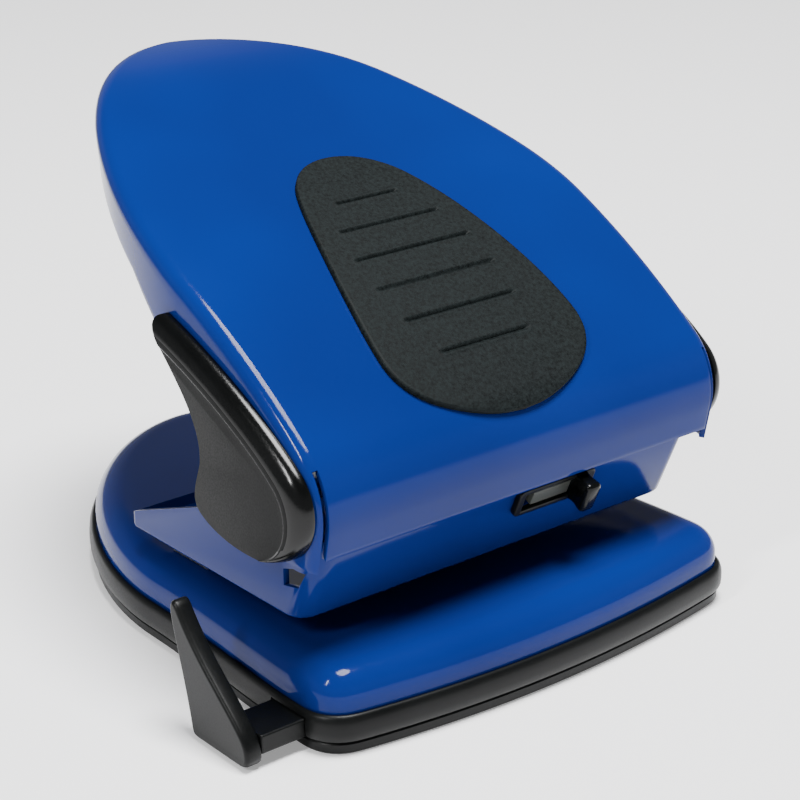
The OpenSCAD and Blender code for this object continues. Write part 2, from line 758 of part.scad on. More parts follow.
base_plate();
base_rim();
chip_tray();
die(-1);  // die_left
die(1);  // die_right
back_stop();
punch_bracket();
bracket_rivets();
guide_bridge();
pivot_axle();
axle_clips();
lock_frame();
lock_slide();
guide_channel();
guide_rule();
guide_stop();
return_spring(-1);  // spring_left
return_spring(1);  // spring_right
punch_pin(-1);  // punch_pin_left
punch_pin(1);  // punch_pin_right
pin_collar(-1);  // pin_collar_left
pin_collar(1);  // pin_collar_right
lever_shell();
lever_stiffener();
press_rod();
grip_pad();
mirror([1, 0, 0]) pivot_cap();  // pivot_cap_left
pivot_cap();  // pivot_cap_right
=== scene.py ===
import math
import bpy
import bmesh
import numpy as np
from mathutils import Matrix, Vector
from mathutils.geometry import delaunay_2d_cdt


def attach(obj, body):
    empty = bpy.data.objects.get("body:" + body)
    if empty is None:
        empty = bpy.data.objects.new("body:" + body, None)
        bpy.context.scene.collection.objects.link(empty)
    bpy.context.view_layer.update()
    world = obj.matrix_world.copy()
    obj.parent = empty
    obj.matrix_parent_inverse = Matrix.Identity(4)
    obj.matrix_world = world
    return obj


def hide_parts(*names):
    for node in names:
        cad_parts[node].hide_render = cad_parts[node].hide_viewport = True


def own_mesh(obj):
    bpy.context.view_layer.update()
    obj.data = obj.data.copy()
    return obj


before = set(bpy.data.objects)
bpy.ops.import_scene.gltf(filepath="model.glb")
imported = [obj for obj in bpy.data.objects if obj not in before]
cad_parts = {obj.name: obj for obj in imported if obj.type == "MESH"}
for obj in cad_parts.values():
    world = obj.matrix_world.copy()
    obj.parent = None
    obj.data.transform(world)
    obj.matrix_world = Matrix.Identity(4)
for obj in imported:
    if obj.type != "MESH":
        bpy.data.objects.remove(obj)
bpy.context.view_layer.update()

mm = 0.001
scene = bpy.context.scene

cameraSetup = {
    "place": (-0.3089, -0.3971, 0.2436),
    "look": (0.59469, 0.71483, -0.36792),
    "lens": 101.93,
    "shift": (-0.0172, -0.0027),
}


def makeCamera(setup):
    data = bpy.data.cameras.new("camera")
    data.lens = setup["lens"]
    data.sensor_width = 36
    data.shift_x, data.shift_y = setup["shift"]
    data.clip_end = 30
    camera = bpy.data.objects.new("camera", data)
    scene.collection.objects.link(camera)
    camera.location = setup["place"]
    camera.rotation_euler = Vector(setup["look"]).to_track_quat("-Z", "Y").to_euler()
    scene.camera = camera


makeCamera(cameraSetup)
print("camera placed")


def upOf(degrees):
    a = math.radians(degrees)
    return np.array([-math.sin(a), math.cos(a)])


def alongOf(degrees):
    a = math.radians(degrees)
    return np.array([math.cos(a), math.sin(a)])


def bezier(p, count):
    t = np.linspace(0, 1, count, endpoint=False)[:, None]
    p = np.array(p, float)
    return (1 - t) ** 3 * p[0] + 3 * (1 - t) ** 2 * t * p[1] + 3 * (1 - t) * t ** 2 * p[2] + t ** 3 * p[3]


def bezierChain(curves, count):
    return np.vstack([bezier(c, count) for c in curves])


def resample(points, step, closed=True):
    pts = np.vstack([points, points[:1]]) if closed else np.array(points)
    run = np.concatenate([[0], np.cumsum(np.linalg.norm(np.diff(pts, axis=0), axis=1))])
    count = max(8, int(round(run[-1] / step)))
    at = np.linspace(0, run[-1], count, endpoint=not closed)
    return np.stack([np.interp(at, run, pts[:, 0]), np.interp(at, run, pts[:, 1])], 1)


def outwardOf(loop):
    # outward normals of a counter-clockwise closed loop
    e = np.roll(loop, -1, 0) - np.roll(loop, 1, 0)
    e /= np.linalg.norm(e, axis=1)[:, None]
    return np.stack([e[:, 1], -e[:, 0]], 1)


def inset(loop, d):
    return loop - d * outwardOf(loop)


def distanceTo(points, loop):
    # least distance from each point to a closed loop
    a, b = loop, np.roll(loop, -1, 0)
    best = np.full(len(points), 1e9)
    for p, q in zip(a, b):
        e = q - p
        t = np.clip(((points - p) @ e) / max(e @ e, 1e-12), 0, 1)
        best = np.minimum(best, np.linalg.norm(points - (p + t[:, None] * e), axis=1))
    return best


def insideLoop(points, loop):
    inside = np.zeros(len(points), bool)
    for p, q in zip(loop, np.roll(loop, -1, 0)):
        crosses = (p[1] > points[:, 1]) != (q[1] > points[:, 1])
        with np.errstate(divide="ignore", invalid="ignore"):
            at = (q[0] - p[0]) * (points[:, 1] - p[1]) / (q[1] - p[1]) + p[0]
        inside ^= crosses & (points[:, 0] < at)
    return inside


def makeMesh(name, points, faces):
    mesh = bpy.data.meshes.new(name)
    mesh.from_pydata([tuple(float(c) * mm for c in p) for p in points], [], faces)
    mesh.update()
    bm = bmesh.new()
    bm.from_mesh(mesh)
    bmesh.ops.remove_doubles(bm, verts=bm.verts, dist=0.004 * mm)
    bmesh.ops.dissolve_degenerate(bm, edges=bm.edges, dist=0.001 * mm)
    bm.to_mesh(mesh)
    bm.free()
    piece = bpy.data.objects.new(name, mesh)
    scene.collection.objects.link(piece)
    return piece


def turnOut(piece):
    bm = bmesh.new()
    bm.from_mesh(piece.data)
    bmesh.ops.recalc_face_normals(bm, faces=bm.faces)
    bm.to_mesh(piece.data)
    bm.free()


def applyAll(piece, sharp=32):
    # bakes the modifiers in and smooths what turns less than the sharp angle
    tree = bpy.context.evaluated_depsgraph_get()
    mesh = bpy.data.meshes.new_from_object(piece.evaluated_get(tree))
    piece.modifiers.clear()
    piece.data = mesh
    mesh.shade_smooth()
    mesh.set_sharp_from_angle(angle=math.radians(sharp))


def cutWith(piece, cutter, how="DIFFERENCE"):
    step = piece.modifiers.new("cut", "BOOLEAN")
    step.operation = how
    step.solver = "EXACT"
    step.object = cutter
    bpy.context.view_layer.update()
    applyAll(piece)
    bpy.data.objects.remove(cutter)


def bevelEdges(piece, width, segments=3, angle=35):
    step = piece.modifiers.new("bevel", "BEVEL")
    step.width = width * mm
    step.segments = segments
    step.limit_method = "ANGLE"
    step.angle_limit = math.radians(angle)
    step.harden_normals = False


def finishPiece(piece, body, material, standsFor=()):
    piece.data.materials.clear()
    piece.data.materials.append(material)
    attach(piece, body)
    if standsFor:
        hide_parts(*standsFor)
    return piece


def loftRings(rings, closeEnds=True, ringed=False):
    # rings of equal length; gives points and faces
    n = len(rings[0])
    m = len(rings)
    points = np.vstack(rings)
    faces = []
    for i in range(m if ringed else m - 1):
        a, b = i * n, ((i + 1) % m) * n
        faces += [(a + j, a + (j + 1) % n, b + (j + 1) % n, b + j) for j in range(n)]
    if closeEnds and not ringed:
        faces.append(tuple(range(n - 1, -1, -1)))
        faces.append(tuple((m - 1) * n + j for j in range(n)))
    return points, faces


def softened(loop, times):
    for _ in range(times):
        loop = 0.5 * loop + 0.25 * (np.roll(loop, 1, 0) + np.roll(loop, -1, 0))
    return loop


def circle(radius, step):
    turn = np.radians(np.arange(0, 360, step))
    return radius * np.stack([np.cos(turn), np.sin(turn)], 1)


def raised(loop, z):
    return np.column_stack([loop, np.full(len(loop), float(z))])


def prism(name, loop, place, low, high):
    # a loop pushed from low to high; place turns (u, v, h) into a point
    n = len(loop)
    points = [place(u, v, h) for h in (low, high) for u, v in loop]
    faces = [tuple(range(n - 1, -1, -1)), tuple(range(n, 2 * n))]
    faces += [(j, (j + 1) % n, n + (j + 1) % n, n + j) for j in range(n)]
    piece = makeMesh(name, points, faces)
    turnOut(piece)
    return piece


def upright(u, v, h):
    return (u, v, h)


def sideways(u, v, h):
    # pushed along X, with the loop drawn in Y and Z
    return (h, u, v)


def boxPiece(name, low, high):
    x0, y0, z0 = low
    x1, y1, z1 = high
    loop = np.array([[x0, y0], [x1, y0], [x1, y1], [x0, y1]])
    return prism(name, loop, upright, z0, z1)


def joinPieces(pieces, name):
    bm = bmesh.new()
    for p in pieces:
        bm.from_mesh(p.data)
    mesh = bpy.data.meshes.new(name)
    bm.to_mesh(mesh)
    bm.free()
    for p in pieces:
        bpy.data.objects.remove(p)
    out = bpy.data.objects.new(name, mesh)
    scene.collection.objects.link(out)
    return out


def fillLoop(loop, step):
    # a closed loop filled with small, even triangles
    low, high = loop.min(0), loop.max(0)
    xs = np.arange(low[0] + step / 2, high[0], step)
    ys = np.arange(low[1] + step / 2, high[1], step * 0.87)
    grid = np.array([[x + (step / 2 if k % 2 else 0), y] for k, y in enumerate(ys) for x in xs])
    grid = grid[insideLoop(grid, loop)]
    grid = grid[distanceTo(grid, loop) > 0.45 * step]
    n = len(loop)
    coords = [Vector(p) for p in np.vstack([loop, grid])]
    out = delaunay_2d_cdt(coords, [(i, (i + 1) % n) for i in range(n)], [list(range(n))], 1, 1e-6)
    return np.array([list(v) for v in out[0]]), [tuple(f) for f in out[2]], n


class NodeBench:
    def __init__(self, name):
        self.material = bpy.data.materials.new(name)
        self.material.use_nodes = True
        self.tree = self.material.node_tree
        self.shader = self.tree.nodes["Principled BSDF"]
        self.place = self.add("ShaderNodeTexCoord").outputs["Object"]

    def add(self, kind, **values):
        node = self.tree.nodes.new(kind)
        for key, value in values.items():
            setattr(node, key, value)
        return node

    def join(self, a, b):
        self.tree.links.new(a, b)

    def noise(self, scale, detail=3.0, rough=0.5, stretch=(1, 1, 1)):
        spread = self.add("ShaderNodeMapping")
        spread.inputs["Scale"].default_value = stretch
        self.join(self.place, spread.inputs["Vector"])
        node = self.add("ShaderNodeTexNoise")
        node.inputs["Scale"].default_value = scale
        node.inputs["Detail"].default_value = detail
        node.inputs["Roughness"].default_value = rough
        self.join(spread.outputs["Vector"], node.inputs["Vector"])
        return node.outputs["Fac"]

    def ramp(self, source, stops):
        node = self.add("ShaderNodeValToRGB")
        while len(node.color_ramp.elements) < len(stops):
            node.color_ramp.elements.new(0.5)
        for element, (at, color) in zip(node.color_ramp.elements, stops):
            element.position = at
            element.color = (*color, 1)
        self.join(source, node.inputs["Fac"])
        return node.outputs["Color"]

    def spread(self, source, low, high, fromLow=0.3, fromHigh=0.7):
        node = self.add("ShaderNodeMapRange")
        node.inputs["From Min"].default_value = fromLow
        node.inputs["From Max"].default_value = fromHigh
        node.inputs["To Min"].default_value = low
        node.inputs["To Max"].default_value = high
        self.join(source, node.inputs["Value"])
        return node.outputs["Result"]

    def bump(self, source, strength, distance, after=None):
        node = self.add("ShaderNodeBump")
        node.inputs["Strength"].default_value = strength
        node.inputs["Distance"].default_value = distance
        self.join(source, node.inputs["Height"])
        if after:
            self.join(after, node.inputs["Normal"])
        return node.outputs["Normal"]


def mixTones(a, b, share):
    return tuple(x + (y - x) * share for x, y in zip(a, b))


bluePaintLook = {
    "deep": (0.0036, 0.0140, 0.116), "bright": (0.0046, 0.0178, 0.141),
    "roughness": 0.1, "hairlines": 0.05, "gloss": 0.12, "peel": 0.05,
}


def makeBluePaint(look):
    m = NodeBench("blueLacquer")
    cloud = m.noise(14, 2, 0.5)
    m.join(m.ramp(cloud, [(0.35, look["deep"]), (0.65, look["bright"])]), m.shader.inputs["Base Color"])
    fine = m.noise(900, 3, 0.6)
    hair = m.spread(m.noise(55, 4, 0.7, (26, 1, 1)), 0, look["hairlines"], 0.58, 0.74)
    both = m.add("ShaderNodeMath", operation="ADD")
    m.join(m.spread(fine, look["roughness"] - 0.03, look["roughness"] + 0.05), both.inputs[0])
    m.join(hair, both.inputs[1])
    m.join(both.outputs["Value"], m.shader.inputs["Roughness"])
    peel = m.bump(m.noise(260, 2, 0.45), look["peel"], 0.00006)
    m.join(peel, m.shader.inputs["Normal"])
    m.shader.inputs["Specular IOR Level"].default_value = look["gloss"]
    return m.material


plasticLooks = {
    "satin": {"deep": (0.0015, 0.0018, 0.0018), "worn": (0.0045, 0.0050, 0.0050),
              "roughness": 0.36, "grain": 0.25, "gloss": 0.15},
    "shiny": {"deep": (0.0015, 0.0018, 0.0018), "worn": (0.0045, 0.0050, 0.0050),
              "roughness": 0.18, "grain": 0.08, "gloss": 0.15},
    "capFace": {"deep": (0.0022, 0.0025, 0.0024), "worn": (0.0052, 0.0057, 0.0055),
                "roughness": 0.5, "grain": 0.5, "gloss": 0.08},
    "capBand": {"deep": (0.0015, 0.0016, 0.0016), "worn": (0.0036, 0.004, 0.004),
                "roughness": 0.17, "grain": 0.05, "gloss": 0.24},
    "lockFace": {"deep": (0.046, 0.049, 0.043), "worn": (0.062, 0.066, 0.059),
                 "roughness": 0.45, "grain": 0.2, "gloss": 0.15},
}


def makePlastic(name, look):
    m = NodeBench(name)
    cloud = m.noise(60, 4, 0.55)
    m.join(m.ramp(cloud, [(0.3, look["deep"]), (0.75, look["worn"])]), m.shader.inputs["Base Color"])
    fine = m.noise(2600, 2, 0.6)
    m.join(m.spread(fine, look["roughness"] - 0.06, look["roughness"] + 0.08), m.shader.inputs["Roughness"])
    m.join(m.bump(fine, look["grain"], 0.00003), m.shader.inputs["Normal"])
    m.shader.inputs["Specular IOR Level"].default_value = look["gloss"]
    return m.material


padLook = {
    "deep": (0.0010, 0.0019, 0.0020), "pale": (0.0078, 0.0112, 0.0116),
    "roughness": 0.62, "gloss": 0.1,
}


def makePadRubber(look):
    m = NodeBench("gripPadRubber")
    speck = m.noise(1100, 4, 0.8)
    m.join(m.ramp(speck, [(0.36, look["deep"]), (0.64, look["pale"])]), m.shader.inputs["Base Color"])
    m.join(m.spread(speck, look["roughness"] - 0.1, look["roughness"] + 0.12), m.shader.inputs["Roughness"])
    coarse = m.bump(m.noise(600, 2, 0.5), 0.5, 0.00008)
    m.join(m.bump(speck, 0.7, 0.00007, coarse), m.shader.inputs["Normal"])
    m.shader.inputs["Specular IOR Level"].default_value = look["gloss"]
    return m.material


steelLooks = {
    "plated": {"dark": (0.36, 0.37, 0.38), "light": (0.60, 0.61, 0.62), "roughness": 0.3},
    "ground": {"dark": (0.30, 0.30, 0.31), "light": (0.5, 0.5, 0.51), "roughness": 0.22},
    "oiled": {"dark": (0.11, 0.11, 0.115), "light": (0.21, 0.21, 0.22), "roughness": 0.38},
    "spring": {"dark": (0.22, 0.22, 0.22), "light": (0.42, 0.42, 0.42), "roughness": 0.28},
}


def makeSteel(name, look, lines=(40, 900, 900)):
    m = NodeBench(name)
    drawn = m.noise(1, 3, 0.6, lines)
    m.join(m.ramp(drawn, [(0.3, look["dark"]), (0.7, look["light"])]), m.shader.inputs["Base Color"])
    m.join(m.spread(drawn, look["roughness"] - 0.08, look["roughness"] + 0.12), m.shader.inputs["Roughness"])
    m.join(m.bump(drawn, 0.15, 0.00003), m.shader.inputs["Normal"])
    m.shader.inputs["Metallic"].default_value = 1
    return m.material


blueLacquer = makeBluePaint(bluePaintLook)
satinBlack = makePlastic("satinBlackPlastic", plasticLooks["satin"])
glossBlack = makePlastic("glossBlackPlastic", plasticLooks["shiny"])
capFace = makePlastic("capFaceGrain", plasticLooks["capFace"])
capBand = makePlastic("capBandPolish", plasticLooks["capBand"])
lockFace = makePlastic("lockFaceGray", plasticLooks["lockFace"])
padRubber = makePadRubber(padLook)
groundSteel = makeSteel("groundSteel", steelLooks["ground"], (900, 900, 40))
platedSteel = makeSteel("zincPlatedSteel", steelLooks["plated"])
oiledSteel = makeSteel("oiledSteel", steelLooks["oiled"])
springSteel = makeSteel("springWire", steelLooks["spring"], (300, 300, 300))
print("materials made")

pivot = np.array([-48.2, 51.3])
leverSize = {
    "halfWidth": 58.5, "taperStart": 29.4, "taper": 91.0, "fullness": 1.7,
    "rollRadius": 18.0, "archRadius": 215.0, "rearBend": 109.0, "straight": 35.8,
    "rollSlope": 38.5, "rearSlope": 20.2, "tailSlope": 2.0, "lipSlope": 101.0,
    "lipDrop": 8.8, "toeDrop": 11.9, "skirtDepth": 10.0,
    "sheet": 1.35, "edgeRadius": 3.2, "slitTop": 62.3, "columns": 36,
    "bends": (0, 14, 29, 43, 57.9, 81, 90), "slitBend": 4,
}


def arc(mid, radius, start, end, count):
    return [(mid + radius * upOf(a), a) for a in np.linspace(start, end, count)]


def leverProfile(size, d=0.0):
    # (y, z) and slope of the lever's top from its rear end round to the front lip
    archMid = pivot + (size["rollRadius"] - size["archRadius"]) * upOf(size["rollSlope"])
    archEnd = archMid + size["archRadius"] * upOf(size["rearSlope"])
    run = size["straight"] * np.array([1, math.tan(math.radians(size["rearSlope"]))])
    rearMid = archEnd + run - size["rearBend"] * upOf(size["rearSlope"])
    tail = rearMid + (size["rearBend"] + d) * upOf(size["tailSlope"])
    tailRun = 60 * alongOf(size["tailSlope"])
    out = [(tail + tailRun * t, size["tailSlope"]) for t in np.linspace(1, 0.02, 30)]
    out += arc(rearMid, size["rearBend"] + d, size["tailSlope"], size["rearSlope"], 30)
    straight = archEnd + d * upOf(size["rearSlope"])
    out += [(straight + run * t, size["rearSlope"]) for t in np.linspace(0.97, 0.03, 24)]
    out += arc(archMid, size["archRadius"] + d, size["rearSlope"], size["rollSlope"], 56)
    out += arc(pivot, size["rollRadius"] + d, size["rollSlope"] + 1.5, size["lipSlope"], 34)
    last = pivot + (size["rollRadius"] + d) * upOf(size["lipSlope"])
    drops = np.concatenate([np.linspace(4.6, size["lipDrop"], 5),
                            np.linspace(size["lipDrop"], size["toeDrop"], 4)[1:]])
    for drop in drops:
        fall = (last[1] - (pivot[1] - drop)) / math.sin(math.radians(size["lipSlope"]))
        out.append((last - fall * alongOf(size["lipSlope"]), size["lipSlope"]))
    return np.array([p for p, a in out]), np.array([a for p, a in out])


leverLine, leverSlope = leverProfile(leverSize)
upper = leverSlope < 88


def topAt(y):
    ys, zs, slopes = leverLine[upper][::-1, 0], leverLine[upper][::-1, 1], leverSlope[upper][::-1]
    return np.interp(y, ys, zs), np.interp(y, ys, slopes)


def skirtLine(size):
    # lower edge of the lever's side, from behind the pivot to the rear
    pts = [pivot + p for p in bezier([[9, -11.4], [19, -5], [19, 12], [41.4, 28.7]], 30)]
    pts += [pivot + (41.4, 28.7), pivot + (52, 36.4)]
    under, slopes = leverProfile(size, -size["skirtDepth"])
    pts += [p for p, a in zip(under, slopes) if a < size["rearSlope"] - 0.01][::-1]
    return np.array(pts)


def makeLever(size):
    hw, radius = size["halfWidth"], size["edgeRadius"]
    taperY = pivot[0] + size["taperStart"]
    front = [(p, a) for p, a in zip(leverLine, leverSlope) if p[0] < taperY - 0.4 and a > 5][::-1]
    around = np.radians(np.concatenate([np.linspace(0, 80, 90), np.linspace(80.6, 90, 16)]))
    power = 2 / size["fullness"]
    plan = np.stack([hw * np.cos(around).clip(0) ** power,
                     taperY + size["taper"] * np.sin(around) ** power], 1)
    ahead = np.vstack([[hw, taperY - 1], plan, [-plan[-2, 0], plan[-2, 1]]])
    e = ahead[2:] - ahead[:-2]
    normal = np.stack([e[:, 1], -e[:, 0]], 1) / np.linalg.norm(e, axis=1)[:, None]
    bends = np.radians(size["bends"])

    def ringPoint(i, bend):
        d, drop = radius * (1 - math.cos(bend)), radius * (1 - math.sin(bend))
        if i < len(front):
            (p, a) = front[i]
            q = p - drop * upOf(a)
            return (hw - d, q[0], q[1])
        k = i - len(front)
        x, y = plan[k] - d * normal[k]
        z, a = topAt(y)
        q = np.array([y, z]) - drop * upOf(a)
        return (max(x, 0), q[0], q[1])

    low = skirtLine(size)
    turnY = low[0, 0]
    reach = [i for i in range(len(front)) if front[i][0][0] < turnY]
    frontRun = np.array([front[i][0] for i in reach])
    share = np.concatenate([[0], np.cumsum(np.linalg.norm(np.diff(frontRun, axis=0), axis=1))])
    share /= share[-1]
    toe = np.array([ringPoint(0, 0)[1:], pivot + (-0.6, -size["toeDrop"] - 0.3), low[0]])
    toeRun = np.concatenate([[0], np.cumsum(np.linalg.norm(np.diff(toe, axis=0), axis=1))])
    toeRun /= toeRun[-1]

    def bottomPoint(i):
        if i < len(reach):
            t = share[i]
            return (hw, np.interp(t, toeRun, toe[:, 0]), np.interp(t, toeRun, toe[:, 1]))
        if i < len(front):
            y = front[i][0][0]
            return (hw, y, np.interp(y, low[:, 0], low[:, 1]))
        x, y = plan[i - len(front)]
        return (x, y, np.interp(y, low[:, 0], low[:, 1]))

    rows = []
    for i in range(len(front) + len(plan)):
        edge = [ringPoint(i, b) for b in bends]
        foot, head = np.array(bottomPoint(i)), np.array(edge[0])
        side = [foot + (head - foot) * t for t in np.linspace(0, 1, 9)[:-1]] + [np.array(p) for p in edge]
        inner = side[-1]
        middle = [np.array([inner[0] * (1 - 2 * t), inner[1], inner[2]])
                  for t in np.linspace(0, 1, size["columns"] + 1)[1:-1]]
        rows.append(side + middle + [p * (-1, 1, 1) for p in side[::-1]])
    n = len(rows[0])
    slit = 8 + size["slitBend"]  # the column of faces left out between the flap and each side

    def isOpen(i, j):
        if i + 1 >= len(front) or front[i + 1][0][0] > pivot[0]:
            return False
        if front[i + 1][0][1] < pivot[1] - size["lipDrop"] + 0.1:
            return slit <= j <= n - 2 - slit
        return j in (slit, n - 2 - slit) and front[i + 1][0][1] < size["slitTop"]

    faces = [(i * n + j, i * n + j + 1, (i + 1) * n + j + 1, (i + 1) * n + j)
             for i in range(len(rows) - 1) for j in range(n - 1) if not isOpen(i, j)]
    shell = makeMesh("leverShell", [p for r in rows for p in r], faces)
    turnOut(shell)
    top = max(shell.data.polygons, key=lambda f: f.center.z)
    if top.normal.z < 0:
        shell.data.flip_normals()
    thick = shell.modifiers.new("sheet", "SOLIDIFY")
    thick.thickness = size["sheet"] * mm
    thick.offset = -1
    applyAll(shell)
    bevelEdges(shell, 0.3, 2, 50)
    applyAll(shell)
    return finishPiece(shell, "lever", blueLacquer, ["lever_shell"])


makeLever(leverSize)
print("lever made")

padSize = {
    "halfWidth": 27.8, "front": pivot[0] - 15.0, "length": 70.0, "height": 1.35, "edge": 0.45,
    "sunk": -0.05, "grooves": 6, "grooveFirst": 13.6, "grooveStep": 8.2, "grooveHalf": 16.5,
    "grooveDepth": 0.55, "grooveWidth": 0.27, "grooveLip": 0.1, "rows": 330, "columns": 84,
}


def padOutline(size):
    hw, y0 = size["halfWidth"], size["front"]
    y1 = y0 + size["length"]
    side = bezierChain([
        [[0, y0], [0.47 * hw, y0], [hw, y0 + 4.2], [hw, y0 + 14.7]],
        [[hw, y0 + 14.7], [hw, y0 + 25], [hw - 8.3, y1 - 16.2], [hw - 13.3, y1 - 8.2]],
        [[hw - 13.3, y1 - 8.2], [hw - 17.3, y1 - 2], [5, y1], [0, y1]]], 40)
    return np.vstack([side, [[0, y1]]])


def makePad(size):
    side = padOutline(size)
    loop = resample(np.vstack([side, (side[1:-1] * (-1, 1))[::-1]]), 0.9)
    t = np.linspace(0, 1, size["rows"])
    eased = 0.5 - 0.5 * np.cos(np.pi * t)
    ys = size["front"] + size["length"] * (0.8 * t + 0.2 * eased)
    halves = np.interp(ys, side[:, 1], side[:, 0])
    halves[0] = halves[-1] = 0.02
    across = np.linspace(-1, 1, size["columns"])
    us = 0.35 * np.sin(np.pi / 2 * across) + 0.65 * across  # denser towards both edges
    flat = np.array([[u * h, y] for y, h in zip(ys, halves) for u in us])
    d = distanceTo(flat, loop)
    high = size["height"] - size["edge"] * (1 - np.sqrt(1 - (1 - np.clip(d / size["edge"], 0, 1)) ** 2))
    for i in range(size["grooves"]):
        y = size["front"] + size["grooveFirst"] + size["grooveStep"] * i
        half = size["grooveHalf"] * math.sqrt(1 - ((i - 2.2) / 3.25) ** 2)
        over = np.clip(np.abs(flat[:, 0]) - half, 0, None)
        away = np.sqrt((flat[:, 1] - y) ** 2 + over ** 2)
        high -= size["grooveDepth"] * np.exp(-(away / size["grooveWidth"]) ** 2)
        high += size["grooveLip"] * np.exp(-((away - 0.8) / 0.3) ** 2)
    points = []
    for heights in (high, np.full(len(high), size["sunk"])):
        for (x, y), h in zip(flat, heights):
            z, a = topAt(y)
            q = np.array([y, z]) + h * upOf(a)
            points.append((x, q[0], q[1]))
    n, rows, under = len(us), len(ys), len(flat)
    top = [(i * n + j, i * n + j + 1, (i + 1) * n + j + 1, (i + 1) * n + j)
           for i in range(rows - 1) for j in range(n - 1)]
    # round the grid's four sides
    border = list(range(n)) + [i * n + n - 1 for i in range(1, rows)]
    border += [(rows - 1) * n + j for j in range(n - 2, -1, -1)] + [i * n for i in range(rows - 2, 0, -1)]
    faces = top + [tuple(k + under for k in reversed(f)) for f in top]
    faces += [(b, a, a + under, b + under) for a, b in zip(border, border[1:] + border[:1])]
    pad = makeMesh("gripPad", points, faces)
    turnOut(pad)
    applyAll(pad, 50)
    return finishPiece(pad, "lever", padRubber, ["grip_pad"])


makePad(padSize)
print("grip pad made")

capSize = {
    "thickness": 4.1, "flank": 0.3, "shrink": 0.125, "root": (24.0, -15.0), "turns": 16,
    "edge": 0.35, "recess": 0.22, "faceTilt": 0.985,
}


def capShapes(size):
    brow, tip = [-13.1, 9.5], [33.3, 32.2]
    edge = bezier([tip, [19.4, 28.0], [-2.6, 18.2], brow], 60)
    outline = np.vstack([edge, bezierChain([
        [brow, [-19.6, 3.7], [-17.6, -7.3], [-7.6, -10.9]],
        [[-7.6, -10.9], [-0.6, -12.8], [12, -12.4], [18.6, -8.2]],
        [[18.6, -8.2], [22.4, -5.6], [19.4, -1.2], [18.2, 3.2]],
        [[18.2, 3.2], [16.8, 11], [24, 18], [30.2, 24.1]],
        [[30.2, 24.1], [34.0, 27.6], [36.6, 32.0], tip]], 40)])
    ahead = bezierChain([[[48, 37.4], [43, 36.2], [38.2, 34.0], tip]], 8)
    under = bezierChain([[brow, [-19.6, 3.7], [-17.6, -7.3], [-7.6, -10.9]],
                         [[-7.6, -10.9], [-0.6, -13.4], [14, -14.6], [48, -14.9]]], 50)
    dome = np.vstack([ahead, edge, under, [[48, -14.9]]])
    return resample(outline, 0.5), resample(dome, 0.7)


def makeCap(side, size):
    outline, dome = capShapes(size)
    root = np.array(size["root"])
    x0 = leverSize["halfWidth"] + 0.02

    def layer(scale, high):
        flat = root + (dome - root) * scale
        return np.column_stack([np.full(len(flat), side * (x0 + high)), flat + pivot])

    rings = [layer(1, 0)]
    for a in np.radians(np.linspace(0, 90, size["turns"])):
        rings.append(layer(1 - size["shrink"] * (1 - math.cos(a)),
                           size["flank"] + (size["thickness"] - size["flank"]) * math.sin(a)))
    rings += [layer(1 - size["shrink"] - d, size["thickness"] - size["recess"] * r)
              for d, r in ((0.006, 0.12), (0.010, 0.5), (0.014, 0.88), (0.020, 1), (0.05, 1))]
    points, faces = loftRings(rings)
    cap = makeMesh("pivotCapLeft" if side < 0 else "pivotCapRight", points, faces)
    turnOut(cap)
    cutWith(cap, prism("leaf", outline + pivot, sideways, -70, 70), "INTERSECT")
    bevelEdges(cap, size["edge"], 2, 60)
    applyAll(cap, 40)
    standsFor = "pivot_cap_left" if side < 0 else "pivot_cap_right"
    finishPiece(cap, "lever", capFace, [standsFor])
    cap.data.materials.append(capBand)
    for face in cap.data.polygons:
        face.material_index = 0 if abs(face.normal.x) > size["faceTilt"] else 1


for side in (-1, 1):
    makeCap(side, capSize)
print("pivot caps made")

baseSize = {
    "width": 120.0, "waist": 114.0, "depth": 152.0, "bow": 4.6, "corner": 8.5, "fullness": 1.8,
    "edgeZ": 9.0, "topZ": 18.5, "drawRadius": 7.0, "sheet": 1.2,
    "dieX": 40.0, "dieY": -23.78, "dieRadius": 5.22,
}


def baseOutline(size):
    hw, y0 = size["width"] / 2, -size["depth"] / 2
    cx, cy = hw - size["corner"], y0 + size["bow"] + size["corner"]
    slope = math.atan(2 * size["bow"] / cx)
    x = np.linspace(0, cx + size["corner"] * math.sin(slope), 40)
    half = [np.stack([x, y0 + size["bow"] * (x / cx) ** 2], 1)]
    a = np.radians(np.linspace(-76 + math.degrees(slope), -4, 12))
    half.append(np.stack([cx + size["corner"] * np.cos(a), cy + size["corner"] * np.sin(a)], 1))
    t = np.linspace(0, 1, 40)
    y = cy + (0 - cy) * t
    half.append(np.stack([hw + (size["waist"] / 2 - hw) * t * t * (3 - 2 * t), y], 1))
    a = np.radians(np.linspace(2, 89, 60))
    power = 2 / size["fullness"]
    half.append(np.stack([size["waist"] / 2 * np.cos(a) ** power,
                          size["depth"] / 2 * np.sin(a) ** power], 1))
    half = np.vstack(half)
    loop = np.vstack([half, [[0, size["depth"] / 2]], (half[1:] * (-1, 1))[::-1]])
    return softened(resample(loop, 1.4), 3)


baseLoop = baseOutline(baseSize)


